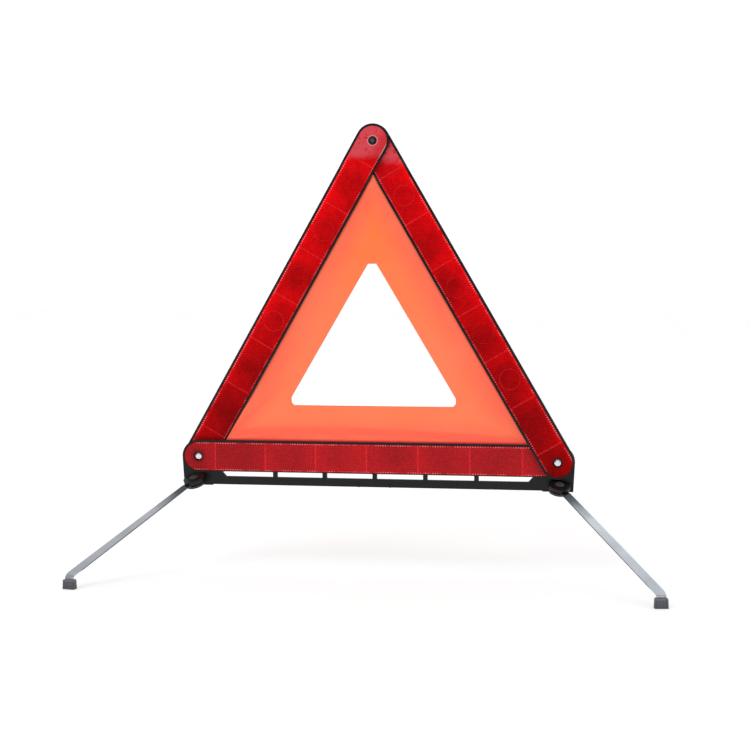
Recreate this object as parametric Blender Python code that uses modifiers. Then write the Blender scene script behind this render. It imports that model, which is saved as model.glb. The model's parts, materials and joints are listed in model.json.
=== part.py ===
"""Folding roadside warning triangle.

Frame: origin on the ground in the middle of the footprint, +X to the right as
seen from the front, -Y towards the viewer, +Z up.  Metres.

The three bars lie in three layers so that the arms can fold over the base:
the right arm in front, the base in the middle, the left arm behind.  Each arm
leans a little towards the other one, and their half-thick tips meet at the top.
"""

import math

import bmesh
import bpy
from mathutils import Matrix, Vector

# ---- driving dimensions ----
PIN_SPACING = 0.394
BAR_HALF_WIDTH = 0.018
BAR_THICKNESS = 0.004
PIN_HEIGHT = 0.125
BASE_Y = 0.0478
LAYER_PITCH = 0.00642
ARM_LEAN = 0.0155
GAP = 0.0003

# ---- bars and their reflectors ----
RIM_WIDTH = 0.0022
RIM_PROUD = 0.0002
REFLECTOR_THICKNESS = 0.0018
TIP_LEVEL = 0.00285
RAMP_START = 0.350
RAMP_END = 0.361
CORNER_STEPS = 20
ROUND_STEPS = 32
DOME_STEPS = 6

# ---- lower rail of the base ----
RAIL_BOTTOM = -0.0308
END_BLOCK_BOTTOM = -0.0318
END_BLOCK_LENGTH = 0.034
END_BLOCK_TAPER = 0.0018
SLOT_TOP = -0.0165
SLOT_BOTTOM = -0.0220
SLOT_REACH = 0.1707
SLOT_CHAMFER = 0.005
RIB_PITCH = 0.0552
RIB_WIDTH = 0.0048
CATCH_OFFSET = 0.017
CATCH_WIDTH = 0.0022
CATCH_DEPTH = 0.0016
CATCH_HEIGHT = 0.0034

# ---- fluorescent sheet ----
SHEET_THICKNESS = 0.0006
OPENING_HALF_WIDTH = 0.0900
OPENING_BOTTOM = 0.0575
OPENING_SHIFT = -0.0016
OPENING_SIDE_HEIGHT = 0.0055
OPENING_CHAMFER = 0.0030
OPENING_TOP = 0.2105
OPENING_TOP_WIDTH = 0.0090

# ---- base and top rivets ----
RIVET_RADIUS = 0.0020
RIVET_HEAD_RADIUS = 0.0038
RIVET_HEAD_HEIGHT = 0.0011
HEAD_RECESS_RADIUS = 0.0050
HEAD_CROWN = 0.7
SPACER_RADIUS = 0.0085
STUD_RADIUS = 0.0022
STUD_END = 0.0032
STUD_CHAMFER = 0.0006
STUD_HEAD_RADIUS = 0.0038
STUD_HEAD_HEIGHT = 0.0007
RING_INNER_RADIUS = 0.0031
RING_OUTER_RADIUS = 0.0043
RING_THICKNESS = 0.0008

# ---- legs ----
EAR_X = 0.199
EAR_RADIUS = 0.0116
EAR_THICKNESS = 0.0040
FRONT_EAR_Y = -0.0128
REAR_EAR_Y = 0.0185
FRONT_EAR_DROP = 0.0244
REAR_EAR_DROP = 0.0246
FRONT_EAR_LEAN = math.radians(14)
REAR_STOW_RISE = math.radians(15)
WEB_HALF_WIDTH = 0.0070
WEB_BITE = 0.0015
LEG_WIDTH = 0.0100
LEG_THICKNESS = 0.0012
LEG_ROOT_INNER = 0.0065
LEG_ROOT_OUTER = 0.0135
LEG_BEND_RADIUS = 0.006
LEG_TWIST_LENGTH = 0.016
LEG_TWIST_STEP = 0.3
SHANK_TWIST = math.radians(13)
SHANK_STEPS = 8
LEG_BEND_STEPS = 6
LEG_SPREAD_X = 0.104
LEG_SPREAD_Y = 0.1085
KNEE_HEIGHT = 0.0145
FOOT_TURN = math.radians(10)
FOOT_HEIGHT = 0.0100
FOOT_WIDTH = 0.0130
FOOT_DEPTH = 0.0070
FOOT_FLARE = 1.06
FOOT_BEVEL = 0.0010
FOOT_GRIP = 0.0105
GROUND_REACH = 1.0
PIN_RADIUS = 0.0018
PIN_HEAD_RADIUS = 0.0052
PIN_HEAD_HEIGHT = 0.0022
PIN_TAIL_RADIUS = 0.0036
PLATE_RADIUS = 0.0106
PLATE_FLAT = 0.0075
PLATE_THICKNESS = 0.0026

HALF_SPAN = PIN_SPACING / 2
FACE = BAR_THICKNESS / 2
THROUGH = 4 * FACE
LENS_FRONT = FACE - RIM_PROUD
LENS_BACK = LENS_FRONT - REFLECTOR_THICKNESS
TIP_FRONT = TIP_LEVEL + FACE / 2
UP = Vector((0, 0, 1))

MATERIALS = {
    "black_plastic": ((0.012, 0.012, 0.013, 1), 0.0, 0.45),
    "red_lens": ((0.72, 0.01, 0.02, 1), 0.0, 0.2),
    "fluorescent_fabric": ((1.0, 0.19, 0.08, 1), 0.0, 0.8),
    "bright_steel": ((0.75, 0.76, 0.78, 1), 1.0, 0.25),
    "spring_steel": ((0.60, 0.62, 0.65, 1), 1.0, 0.3),
    "foot_rubber": ((0.05, 0.05, 0.055, 1), 0.0, 0.8),
    "grey_nylon": ((0.10, 0.10, 0.11, 1), 0.0, 0.5),
}


# ---- scene helpers ----
def clear_scene():
    for obj in list(bpy.data.objects):
        bpy.data.objects.remove(obj, do_unlink=True)


def new_collection(name):
    collection = bpy.data.collections.new(name)
    bpy.context.scene.collection.children.link(collection)
    return collection


def material(name):
    made = bpy.data.materials.get(name)
    if made:
        return made
    colour, metallic, roughness = MATERIALS[name]
    made = bpy.data.materials.new(name)
    made.use_nodes = True
    made.diffuse_color = colour
    shader = made.node_tree.nodes["Principled BSDF"]
    shader.inputs["Base Color"].default_value = colour
    shader.inputs["Metallic"].default_value = metallic
    shader.inputs["Roughness"].default_value = roughness
    return made


def add_mesh(name, mesh, matrix=None):
    obj = bpy.data.objects.new(name, mesh)
    PARTS.objects.link(obj)
    if matrix is not None:
        obj.matrix_world = matrix
    return obj


def finish(obj, material_name, parent=None, matrix=None):
    """Gives a piece its material and hangs it, at matrix, on its parent empty."""
    obj.data.materials.clear()
    obj.data.materials.append(material(material_name))
    if parent:
        obj.parent = parent
    obj.matrix_basis = matrix if matrix is not None else Matrix()
    return obj


def add_empty(name, matrix):
    empty = bpy.data.objects.new(name, None)
    empty.empty_display_size = 0.02
    PARTS.objects.link(empty)
    empty.matrix_world = matrix
    return empty


def bake(obj):
    """Turns the modifiers of a piece, or a whole curve, into its mesh."""
    bpy.context.view_layer.update()
    graph = bpy.context.evaluated_depsgraph_get()
    mesh = bpy.data.meshes.new_from_object(obj.evaluated_get(graph))
    matrix = obj.matrix_world.copy()
    name = obj.name
    bpy.data.objects.remove(obj, do_unlink=True)
    work = bmesh.new()
    work.from_mesh(mesh)
    bmesh.ops.remove_doubles(work, verts=work.verts, dist=1e-6)
    bmesh.ops.recalc_face_normals(work, faces=work.faces)
    work.to_mesh(mesh)
    work.free()
    return add_mesh(name, mesh, matrix)


def cut(obj, cutter, operation="DIFFERENCE"):
    """Boolean of two pieces in their present places; the cutter is put away, out of renders."""
    modifier = obj.modifiers.new(operation.title(), "BOOLEAN")
    modifier.operation = operation
    modifier.object = cutter
    modifier.solver = "EXACT"
    result = bake(obj)
    PARTS.objects.unlink(cutter)
    CUTTERS.objects.link(cutter)
    cutter.hide_render = True
    cutter.display_type = "WIRE"
    return result


def upright(place, lean=0.0):
    """Stands a flat layout up: its +Y turns up and its +Z to the front; place.y counts from the base."""
    x, y, z = place
    return Matrix.Translation((x, BASE_Y + y, z)) @ Matrix.Rotation(math.radians(90) + lean, 4, "X")


# ---- shape helpers ----
def arc(centre, radius, start, end, steps):
    """Points of an arc, angles in degrees anticlockwise from +X."""
    turns = [math.radians(start + (end - start) * i / steps) for i in range(steps + 1)]
    return [(centre[0] + radius * math.cos(a), centre[1] + radius * math.sin(a)) for a in turns]


def plate(name, loops, back, front):
    """Flat plate: closed loops in XY, inner ones are holes, from z = back to z = front."""
    curve = bpy.data.curves.new(name, "CURVE")
    curve.dimensions = "2D"
    curve.fill_mode = "BOTH"
    curve.extrude = (front - back) / 2
    for loop in loops:
        spline = curve.splines.new("POLY")
        spline.points.add(len(loop) - 1)
        for point, (x, y) in zip(spline.points, loop):
            point.co = (x, y, 0, 1)
        spline.use_cyclic_u = True
    obj = bake(add_mesh(name, curve))
    obj.data.transform(Matrix.Translation((0, 0, (front + back) / 2)))
    return obj


def ring(radius, centre=(0, 0), steps=ROUND_STEPS):
    return arc(centre, radius, 0, 360 - 360 / steps, steps - 1)


def drum(name, radius, back, front):
    """Round plate centred on the Z axis."""
    placing = Matrix.Translation((0, 0, (front + back) / 2))
    work = bmesh.new()
    bmesh.ops.create_cone(
        work, cap_ends=True, segments=ROUND_STEPS, radius1=radius, radius2=radius,
        depth=front - back, matrix=placing,
    )
    return from_bmesh(name, work)


def box(name, low, high):
    low, high = Vector(low), Vector(high)
    placing = Matrix.Translation((low + high) / 2) @ Matrix.Diagonal((high - low).to_4d())
    work = bmesh.new()
    bmesh.ops.create_cube(work, size=1, matrix=placing)
    return from_bmesh(name, work)


def from_bmesh(name, work):
    mesh = bpy.data.meshes.new(name)
    work.to_mesh(mesh)
    work.free()
    return add_mesh(name, mesh)


def revolve(name, profile, steps=ROUND_STEPS):
    """Solid of revolution round Z; the profile runs down its outer side, (radius, z)."""
    mesh = bpy.data.meshes.new(name)
    mesh.from_pydata([(r, 0, z) for r, z in profile], [(i, i + 1) for i in range(len(profile) - 1)], [])
    obj = add_mesh(name, mesh)
    screw = obj.modifiers.new("Screw", "SCREW")
    screw.axis = "Z"
    screw.steps = steps
    screw.render_steps = steps
    screw.use_merge_vertices = True
    screw.merge_threshold = 0.00001
    return bake(obj)


def shade_round(obj, angle=35):
    for polygon in obj.data.polygons:
        polygon.use_smooth = True
    obj.data.set_sharp_from_angle(angle=math.radians(angle))
    return obj


# ---- bars ----
def stadium(length, radius, steps=CORNER_STEPS):
    """Outline of a bar with round ends, from the origin to (0, length)."""
    return arc((0, length), radius, 0, 180, steps) + arc((0, 0), radius, 180, 360, steps)


def half_lap(obj, side):
    """Thins the tip of an arm to half and moves it to its own side, +1 front or -1 back."""
    work = bmesh.new()
    work.from_mesh(obj.data)
    for level in (RAMP_START, RAMP_END):
        everything = work.verts[:] + work.edges[:] + work.faces[:]
        bmesh.ops.bisect_plane(work, geom=everything, plane_co=(0, level, 0), plane_no=(0, 1, 0))
    for vertex in work.verts:
        share = (vertex.co.y - RAMP_START) / (RAMP_END - RAMP_START)
        share = min(max(share, 0), 1)
        vertex.co.z = vertex.co.z * (1 - share / 2) + side * TIP_LEVEL * share
    work.to_mesh(obj.data)
    work.free()
    return obj


def bore(obj, radius, centre=(0, 0), back=-THROUGH, front=THROUGH):
    """Round hole or pocket in a piece that lies flat."""
    drill = drum("drill", radius, back, front)
    drill.data.transform(Matrix.Translation((*centre, 0)))
    return cut(obj, drill)


def arm(side_name, side, hinge):
    """Channel and reflector of one arm. Side +1 is the left arm, whose tip is in front."""
    turn = Matrix.Rotation(math.radians(-30 * side), 4, "Z")
    tip = (0, PIN_SPACING)
    frame = plate(side_name + "_arm_frame", [stadium(PIN_SPACING, BAR_HALF_WIDTH)], -FACE, FACE)
    recess_loops = [stadium(PIN_SPACING, BAR_HALF_WIDTH - RIM_WIDTH)]
    frame = cut(frame, plate("recess", recess_loops, LENS_BACK - GAP, THROUGH))
    frame = bore(half_lap(frame, side), RIVET_RADIUS + GAP)
    lens_loops = [stadium(PIN_SPACING, BAR_HALF_WIDTH - RIM_WIDTH - GAP)]
    lens = half_lap(plate(side_name + "_arm_reflector", lens_loops, LENS_BACK, LENS_FRONT), side)
    if side > 0:
        lens = bore(lens, RIVET_HEAD_RADIUS)
        lens = bore(lens, RING_OUTER_RADIUS + GAP, tip)
        frame = bore(frame, RING_INNER_RADIUS + GAP, tip)
    else:
        lens = bore(lens, HEAD_RECESS_RADIUS)
        lens = bore(lens, STUD_HEAD_RADIUS, tip)
        frame = bore(frame, STUD_RADIUS + GAP, tip)
        pocket_floor = STUD_HEAD_HEIGHT + GAP - TIP_FRONT
        frame = bore(frame, STUD_HEAD_RADIUS + GAP, tip, front=pocket_floor)
    finish(frame, "black_plastic", hinge, turn)
    finish(lens, "red_lens", hinge, turn)
    return turn


def base_outline():
    """Front outline of the base: round above the pins, square end blocks and rail below."""
    right = HALF_SPAN + BAR_HALF_WIDTH
    inner = right - END_BLOCK_LENGTH
    top = arc((HALF_SPAN, 0), BAR_HALF_WIDTH, 0, 90, CORNER_STEPS // 2)
    top += arc((-HALF_SPAN, 0), BAR_HALF_WIDTH, 90, 180, CORNER_STEPS // 2)
    step = RAIL_BOTTOM - END_BLOCK_BOTTOM
    bottom = [
        (END_BLOCK_TAPER - right, END_BLOCK_BOTTOM),
        (-inner, END_BLOCK_BOTTOM),
        (step - inner, RAIL_BOTTOM),
    ]
    return top + bottom + [(-x, y) for x, y in reversed(bottom)]


def slot_loops():
    """The six windows between the ribs; the outer two end in a slope."""
    half_rib = RIB_WIDTH / 2
    loops = []
    for index in range(2):
        left = index * RIB_PITCH + half_rib
        right = (index + 1) * RIB_PITCH - half_rib
        loops.append([(left, SLOT_BOTTOM), (right, SLOT_BOTTOM), (right, SLOT_TOP), (left, SLOT_TOP)])
    left = 2 * RIB_PITCH + half_rib
    right = SLOT_REACH - SLOT_CHAMFER
    loops.append([(left, SLOT_BOTTOM), (right, SLOT_BOTTOM), (SLOT_REACH, SLOT_TOP), (left, SLOT_TOP)])
    return loops + [[(-x, y) for x, y in reversed(loop)] for loop in loops]


def base_bar(legs):
    standing = upright((0, 0, PIN_HEIGHT))
    sideways = Matrix.Translation((HALF_SPAN, 0, 0)) @ Matrix.Rotation(math.radians(90), 4, "Z")
    frame = plate("base_frame", [base_outline()] + slot_loops(), -FACE, FACE)
    recess_loops = [stadium(PIN_SPACING, BAR_HALF_WIDTH - RIM_WIDTH)]
    recess = plate("recess", recess_loops, LENS_BACK - GAP, THROUGH)
    recess.data.transform(sideways)
    frame = cut(frame, recess)
    lens_loops = [stadium(PIN_SPACING, BAR_HALF_WIDTH - RIM_WIDTH - GAP)]
    lens = plate("base_reflector", lens_loops, LENS_BACK, LENS_FRONT)
    lens.data.transform(sideways)
    left_pin, right_pin = (-HALF_SPAN, 0), (HALF_SPAN, 0)
    lens = bore(lens, HEAD_RECESS_RADIUS, left_pin)
    lens = bore(lens, RIVET_HEAD_RADIUS, right_pin)
    frame = bore(frame, RIVET_RADIUS + GAP, left_pin)
    frame = bore(frame, RIVET_RADIUS + GAP, right_pin)
    frame = bore(frame, RIVET_HEAD_RADIUS + GAP, right_pin, front=RIVET_HEAD_HEIGHT + GAP - FACE)
    for side in (-1, 1):
        frame = cut(frame, catch(side), "UNION")
    lying = standing.inverted()
    for leg in legs:
        lug = ear(leg)
        lug.data.transform(lying)
        frame = cut(frame, lug, "UNION")
    for leg in legs:
        hole = drum("pin_hole", PIN_RADIUS + GAP, -EAR_THICKNESS, EAR_THICKNESS)
        hole.data.transform(lying @ leg["ear"])
        frame = cut(frame, hole)
        pocket = drum("head_pocket", PIN_HEAD_RADIUS + GAP, EAR_THICKNESS / 2, 2 * EAR_THICKNESS)
        pocket.data.transform(lying @ leg["ear"])
        frame = cut(frame, pocket)
    finish(frame, "black_plastic", None, standing)
    finish(lens, "red_lens", None, standing)


def catch(side):
    """Small hook on the rail that holds the end of a folded leg."""
    middle = side * CATCH_OFFSET
    low = (middle - CATCH_WIDTH / 2, RAIL_BOTTOM, FACE - GAP)
    high = (middle + CATCH_WIDTH / 2, RAIL_BOTTOM + CATCH_HEIGHT, FACE + CATCH_DEPTH)
    return box("catch", low, high)


# ---- corner rivets and the snap joint at the top ----
def rivet_profile(head_top, tail_bottom, head_radius, head_height, radius):
    """Outer side of a rivet from its head at the top to its tail at the bottom."""
    dome = head_height / 3
    crown = head_radius * HEAD_CROWN
    return [
        (0, head_top),
        (crown, head_top),
        (head_radius, head_top - dome),
        (head_radius, head_top - head_height),
        (radius, head_top - head_height),
        (radius, tail_bottom + head_height),
        (head_radius, tail_bottom + head_height),
        (head_radius, tail_bottom + dome),
        (crown, tail_bottom),
        (0, tail_bottom),
    ]


def corner_joint(name, hinge, base_side):
    """Rivet and spacer of a lower corner; the base is on base_side of the arm, +1 is in front."""
    if base_side > 0:
        head_top = LAYER_PITCH + LENS_BACK + RIVET_HEAD_HEIGHT
        tail_bottom = -FACE - GAP - RIVET_HEAD_HEIGHT
    else:
        head_top = LENS_BACK + RIVET_HEAD_HEIGHT
        tail_bottom = -LAYER_PITCH - FACE + GAP / 2
    head_radius = RIVET_HEAD_RADIUS - GAP
    head_height = RIVET_HEAD_HEIGHT - GAP / 2
    profile = rivet_profile(head_top, tail_bottom, head_radius, head_height, RIVET_RADIUS)
    finish(shade_round(revolve(name + "_corner_rivet", profile)), "bright_steel", hinge)
    middle = base_side * LAYER_PITCH / 2
    half = (LAYER_PITCH - BAR_THICKNESS) / 2 - GAP
    loops = [ring(SPACER_RADIUS), ring(RIVET_RADIUS + GAP)]
    spacer = plate(name + "_corner_spacer", loops, middle - half, middle + half)
    finish(shade_round(spacer), "grey_nylon", hinge)


def top_joint(left_hinge, right_hinge, left_turn, right_turn):
    """Grommet in the left tip and the stud of the right tip that snaps into it."""
    at_tip = Matrix.Translation((0, PIN_SPACING, 0))
    ring_front = TIP_FRONT - RIM_PROUD / 2
    loops = [ring(RING_OUTER_RADIUS), ring(RING_INNER_RADIUS)]
    grommet = plate("apex_grommet", loops, ring_front - RING_THICKNESS, ring_front)
    finish(shade_round(grommet), "black_plastic", left_hinge, left_turn @ at_tip)
    profile = [
        (0, STUD_END),
        (STUD_RADIUS - STUD_CHAMFER, STUD_END),
        (STUD_RADIUS, STUD_END - STUD_CHAMFER),
        (STUD_RADIUS, STUD_HEAD_HEIGHT - TIP_FRONT),
        (STUD_HEAD_RADIUS, STUD_HEAD_HEIGHT - TIP_FRONT),
        (STUD_HEAD_RADIUS, -TIP_FRONT),
        (0, -TIP_FRONT),
    ]
    finish(shade_round(revolve("apex_stud", profile)), "grey_nylon", right_hinge, right_turn @ at_tip)


# ---- legs ----
def leg_layout(name, side, front):
    """Where one leg turns: its pivot, tilted axis, and the turn from swung out to stowed."""
    towards = -1 if front else 1
    ear_y = FRONT_EAR_Y if front else REAR_EAR_Y
    drop = FRONT_EAR_DROP if front else REAR_EAR_DROP
    rise = 0 if front else REAR_STOW_RISE
    lean = FRONT_EAR_LEAN if front else 0
    centre = Vector((side * EAR_X, BASE_Y + ear_y, PIN_HEIGHT - drop))
    reach = Vector((side * LEG_SPREAD_X, towards * LEG_SPREAD_Y, KNEE_HEIGHT - centre.z))
    swung_out = reach.normalized()
    stowed = Vector((-side * math.cos(rise), 0, math.sin(rise)))
    change = (swung_out - stowed).normalized()
    steepest = (UP - change * UP.dot(change)).normalized()
    forward = -side * steepest.cross(change)
    axis = steepest * math.cos(lean) + forward * math.sin(lean)
    outward = (swung_out - axis * swung_out.dot(axis)).normalized()
    inward = (stowed - axis * stowed.dot(axis)).normalized()
    across = axis.cross(outward)
    turn = math.atan2(inward.dot(across), inward.dot(outward))
    frame = Matrix((outward, across, axis)).transposed().to_4x4()
    to_base = frame.to_3x3().transposed() @ Vector((0, -towards, 0))
    mirror = -side * towards
    foot_turn = mirror * FOOT_TURN
    return {
        "name": name,
        "ear": Matrix.Translation(centre) @ frame,
        "towards": towards,
        "web_length": (abs(ear_y) - FACE + WEB_BITE) / math.hypot(to_base.x, to_base.y),
        "base_angle": math.atan2(to_base.y, to_base.x),
        "length": reach.length,
        "slope": math.asin(-swung_out.dot(axis)),
        "foot_side": Vector((math.cos(foot_turn), math.sin(foot_turn), 0)),
        "face_turn": mirror * SHANK_TWIST,
        "turn": turn,
    }


def ear(leg):
    """Round lug of the base that carries one leg, with a web back to the end block."""
    lug = drum("lug", EAR_RADIUS, -EAR_THICKNESS / 2, EAR_THICKNESS / 2)
    low = (0, -WEB_HALF_WIDTH, GAP - EAR_THICKNESS / 2)
    web = box("web", low, (leg["web_length"], WEB_HALF_WIDTH, 0))
    web.data.transform(Matrix.Rotation(leg["base_angle"], 4, "Z"))
    lug = cut(lug, web, "UNION")
    lug.data.transform(leg["ear"])
    return lug


def leg_stations(leg):
    """Middle line of a leg with its width direction: flat root, twisted shank, foot end turned forward."""
    to_ear = leg["ear"].to_3x3().transposed()
    down = to_ear @ -UP
    foot_side = to_ear @ leg["foot_side"]
    flat, side = Vector((1, 0, 0)), Vector((0, 1, 0))
    if foot_side.dot(side) < 0:
        foot_side = -foot_side
    level = -EAR_THICKNESS / 2 - GAP - LEG_THICKNESS / 2
    root_end = Vector((LEG_ROOT_OUTER, 0, level))
    shank = Vector((math.cos(leg["slope"]), 0, -math.sin(leg["slope"])))
    knee = root_end + shank * (leg["length"] - LEG_ROOT_OUTER)
    stations = [(Vector((-LEG_ROOT_INNER, 0, level)), side)]
    stations += [(point, side) for point in bend(root_end, flat, shank)]
    shank_start, twist_start = stations[-1][0], knee - shank * LEG_TWIST_LENGTH
    turned = Matrix.Rotation(leg["face_turn"], 3, shank) @ side
    for index in range(1, SHANK_STEPS):
        share = index / SHANK_STEPS
        stations.append((shank_start.lerp(twist_start, share), side.slerp(turned, share)))
    end = knee + down * FOOT_GRIP
    tail = [twist_start, twist_start.lerp(knee, LEG_TWIST_STEP)] + bend(knee, shank, down)
    for index, point in enumerate(tail):
        share = index / (len(tail) - 1)
        stations.append((point, turned.slerp(foot_side, share)))
    stations.append((end, foot_side))
    return stations, knee, down, foot_side


def bend(corner, before, after, steps=LEG_BEND_STEPS):
    """Points of a smooth bend at a corner between two directions."""
    setback = LEG_BEND_RADIUS * math.tan(before.angle(after) / 2)
    start, end = corner - before * setback, corner + after * setback
    shares = [i / steps for i in range(steps + 1)]
    return [start.lerp(corner, t).lerp(corner.lerp(end, t), t) for t in shares]


def ribbon(name, stations, width, thickness):
    """Strip lofted through stations, each a point of its middle line and a width direction."""
    points = []
    for middle, side in stations:
        points += [middle - side * width / 2, middle + side * width / 2]
    faces = [(2 * i, 2 * i + 2, 2 * i + 3, 2 * i + 1) for i in range(len(stations) - 1)]
    mesh = bpy.data.meshes.new(name)
    mesh.from_pydata(points, [], faces)
    obj = add_mesh(name, mesh)
    solid = obj.modifiers.new("Solidify", "SOLIDIFY")
    solid.thickness = thickness
    solid.offset = 0
    solid.use_even_offset = True
    return bake(obj)


def leg_pieces(leg, hinge, placing):
    stations, knee, down, foot_side = leg_stations(leg)
    strip = ribbon(leg["name"] + "_leg", stations, LEG_WIDTH, LEG_THICKNESS)
    strip = cut(strip, drum("pin_hole", PIN_RADIUS + GAP, -3 * EAR_THICKNESS, 0))
    finish(shade_round(strip), "spring_steel", hinge, placing)

    at_knee = Matrix((foot_side.cross(-down), foot_side, -down)).transposed().to_4x4()
    at_knee = Matrix.Translation(knee) @ at_knee
    half_depth, half_width = FOOT_DEPTH / 2, FOOT_WIDTH / 2
    cap_top = FOOT_HEIGHT - (leg["ear"] @ knee).z
    low = (-half_depth, -half_width, -2 * KNEE_HEIGHT)
    cap = box(leg["name"] + "_foot", low, (half_depth, half_width, cap_top))
    bevel = cap.modifiers.new("Bevel", "BEVEL")
    bevel.width = FOOT_BEVEL
    bevel.segments = 2
    cap = bake(cap)
    for vertex in cap.data.vertices:
        spread = 1 + (FOOT_FLARE - 1) * (cap_top - vertex.co.z) / FOOT_HEIGHT
        vertex.co.x *= spread
        vertex.co.y *= spread
    cap.data.transform(at_knee)
    half_slot, half_mouth = LEG_THICKNESS / 2 + GAP, LEG_WIDTH / 2 + GAP
    slot = box("slot", (-half_slot, -half_mouth, -FOOT_GRIP - GAP), (half_slot, half_mouth, KNEE_HEIGHT))
    slot.data.transform(at_knee)
    cap = cut(cap, slot)
    ground = box("ground", (-GROUND_REACH, -GROUND_REACH, -GROUND_REACH), (GROUND_REACH, GROUND_REACH, 0))
    ground.data.transform(leg["ear"].inverted())
    cap = cut(cap, ground)
    finish(shade_round(cap), "foot_rubber", hinge, placing)


def leg_pivot(leg, hinge):
    """Pin with a domed head and the plate below the leg; they stay with the base."""
    top = EAR_THICKNESS / 2
    plate_top = -top - 2 * GAP - LEG_THICKNESS
    plate_bottom = plate_top - PLATE_THICKNESS
    opening = math.degrees(math.acos(PLATE_FLAT / PLATE_RADIUS))
    outline = arc((0, 0), PLATE_RADIUS, opening, 360 - opening, ROUND_STEPS)
    lower = plate(leg["name"] + "_leg_plate", [outline, ring(PIN_RADIUS + GAP)], plate_bottom, plate_top)
    lower.data.transform(Matrix.Rotation(leg["base_angle"], 4, "Z"))
    finish(shade_round(lower), "black_plastic", hinge)
    head, tail = top + GAP, plate_bottom - GAP
    dome = arc((0, 0), 1, 90, 0, DOME_STEPS)
    profile = [(x * PIN_HEAD_RADIUS, head + z * PIN_HEAD_HEIGHT) for x, z in dome]
    profile += [
        (PIN_RADIUS, head),
        (PIN_RADIUS, tail),
        (PIN_TAIL_RADIUS, tail),
        (PIN_TAIL_RADIUS, tail - RIVET_HEAD_HEIGHT),
        (0, tail - RIVET_HEAD_HEIGHT),
    ]
    finish(shade_round(revolve(leg["name"] + "_leg_pin", profile)), "black_plastic", hinge)


# ---- fluorescent sheet ----
def sheet():
    """One sheet that fills the triangle inside the bars, with a triangular opening."""
    edge = BAR_HALF_WIDTH + GAP
    half = HALF_SPAN - edge * math.sqrt(3)
    top = edge + half * math.sqrt(3)
    outer = [(half, edge), (0, top), (-half, edge)]
    half_top = OPENING_TOP_WIDTH / 2
    shoulder = OPENING_BOTTOM + OPENING_CHAMFER
    right_half = [
        (OPENING_HALF_WIDTH - OPENING_CHAMFER, OPENING_BOTTOM),
        (OPENING_HALF_WIDTH, shoulder),
        (OPENING_HALF_WIDTH, shoulder + OPENING_SIDE_HEIGHT),
        (half_top, OPENING_TOP),
    ]
    opening = right_half + [(-x, y) for x, y in reversed(right_half)]
    opening = [(x + OPENING_SHIFT, y) for x, y in opening]
    half_thick = SHEET_THICKNESS / 2
    made = plate("fluorescent_sheet", [outer, opening], -half_thick, half_thick)
    finish(made, "fluorescent_fabric", None, upright((0, 0, PIN_HEIGHT)))


def build():
    legs = [
        leg_layout("left_front", -1, True),
        leg_layout("right_front", 1, True),
        leg_layout("left_rear", -1, False),
        leg_layout("right_rear", 1, False),
    ]
    base_bar(legs)

    left_hinge = add_empty("left_arm_hinge", upright((-HALF_SPAN, LAYER_PITCH, PIN_HEIGHT), ARM_LEAN))
    right_hinge = add_empty("right_arm_hinge", upright((HALF_SPAN, -LAYER_PITCH, PIN_HEIGHT), -ARM_LEAN))
    left_turn = arm("left", 1, left_hinge)
    right_turn = arm("right", -1, right_hinge)
    corner_joint("left", left_hinge, 1)
    corner_joint("right", right_hinge, -1)
    top_joint(left_hinge, right_hinge, left_turn, right_turn)
    sheet()

    for leg in legs:
        hinge = add_empty(leg["name"] + "_leg_hinge", leg["ear"])
        stowed = leg["towards"] > 0
        placing = Matrix.Rotation(leg["turn"], 4, "Z") if stowed else Matrix()
        leg_pieces(leg, hinge, placing)
        leg_pivot(leg, hinge)


clear_scene()
PARTS = new_collection("warning_triangle")
CUTTERS = new_collection("cutters")
build()
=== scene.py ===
"""Looks of the warning triangle: materials, the soft fluorescent sheet, studio and camera."""

import json
import math

import bpy
import numpy as np
from mathutils import Matrix, Vector


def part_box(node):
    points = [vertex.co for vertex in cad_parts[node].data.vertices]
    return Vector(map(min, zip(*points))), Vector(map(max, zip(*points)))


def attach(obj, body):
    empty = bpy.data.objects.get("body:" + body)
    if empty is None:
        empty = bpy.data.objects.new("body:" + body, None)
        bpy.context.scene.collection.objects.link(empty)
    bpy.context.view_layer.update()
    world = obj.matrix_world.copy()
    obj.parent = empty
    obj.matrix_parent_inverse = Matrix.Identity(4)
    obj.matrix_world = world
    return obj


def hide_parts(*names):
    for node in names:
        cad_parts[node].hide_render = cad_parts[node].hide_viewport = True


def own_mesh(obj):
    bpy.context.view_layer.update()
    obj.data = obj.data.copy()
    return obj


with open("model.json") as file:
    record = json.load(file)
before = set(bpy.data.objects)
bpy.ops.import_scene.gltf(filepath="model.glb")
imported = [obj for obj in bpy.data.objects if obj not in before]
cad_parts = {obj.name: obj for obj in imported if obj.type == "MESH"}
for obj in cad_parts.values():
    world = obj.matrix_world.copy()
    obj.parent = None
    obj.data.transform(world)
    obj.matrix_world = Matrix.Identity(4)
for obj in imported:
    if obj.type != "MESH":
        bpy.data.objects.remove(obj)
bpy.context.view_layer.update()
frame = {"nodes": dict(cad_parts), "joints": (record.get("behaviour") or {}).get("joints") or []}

# ---- the bars, as the CAD has them ----
JOINTS = {joint["name"]: joint for joint in frame["joints"]}
BASE_LOW, BASE_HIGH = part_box("base_frame")
LENS_LOW, LENS_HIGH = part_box("base_reflector")
LEFT_PIN = Vector(JOINTS["left_arm_fold"]["pos_m"])
RIGHT_PIN = Vector(JOINTS["right_arm_fold"]["pos_m"])
BASE_Y = (LEFT_PIN.y + RIGHT_PIN.y) / 2
PIN_SPACING = RIGHT_PIN.x - LEFT_PIN.x
PIN_HEIGHT = LEFT_PIN.z
BAR_HALF_WIDTH = BASE_HIGH.x - RIGHT_PIN.x
LENS_HALF_WIDTH = (LENS_HIGH.z - LENS_LOW.z) / 2
FOOT_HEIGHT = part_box("left_front_foot")[1].z

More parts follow.
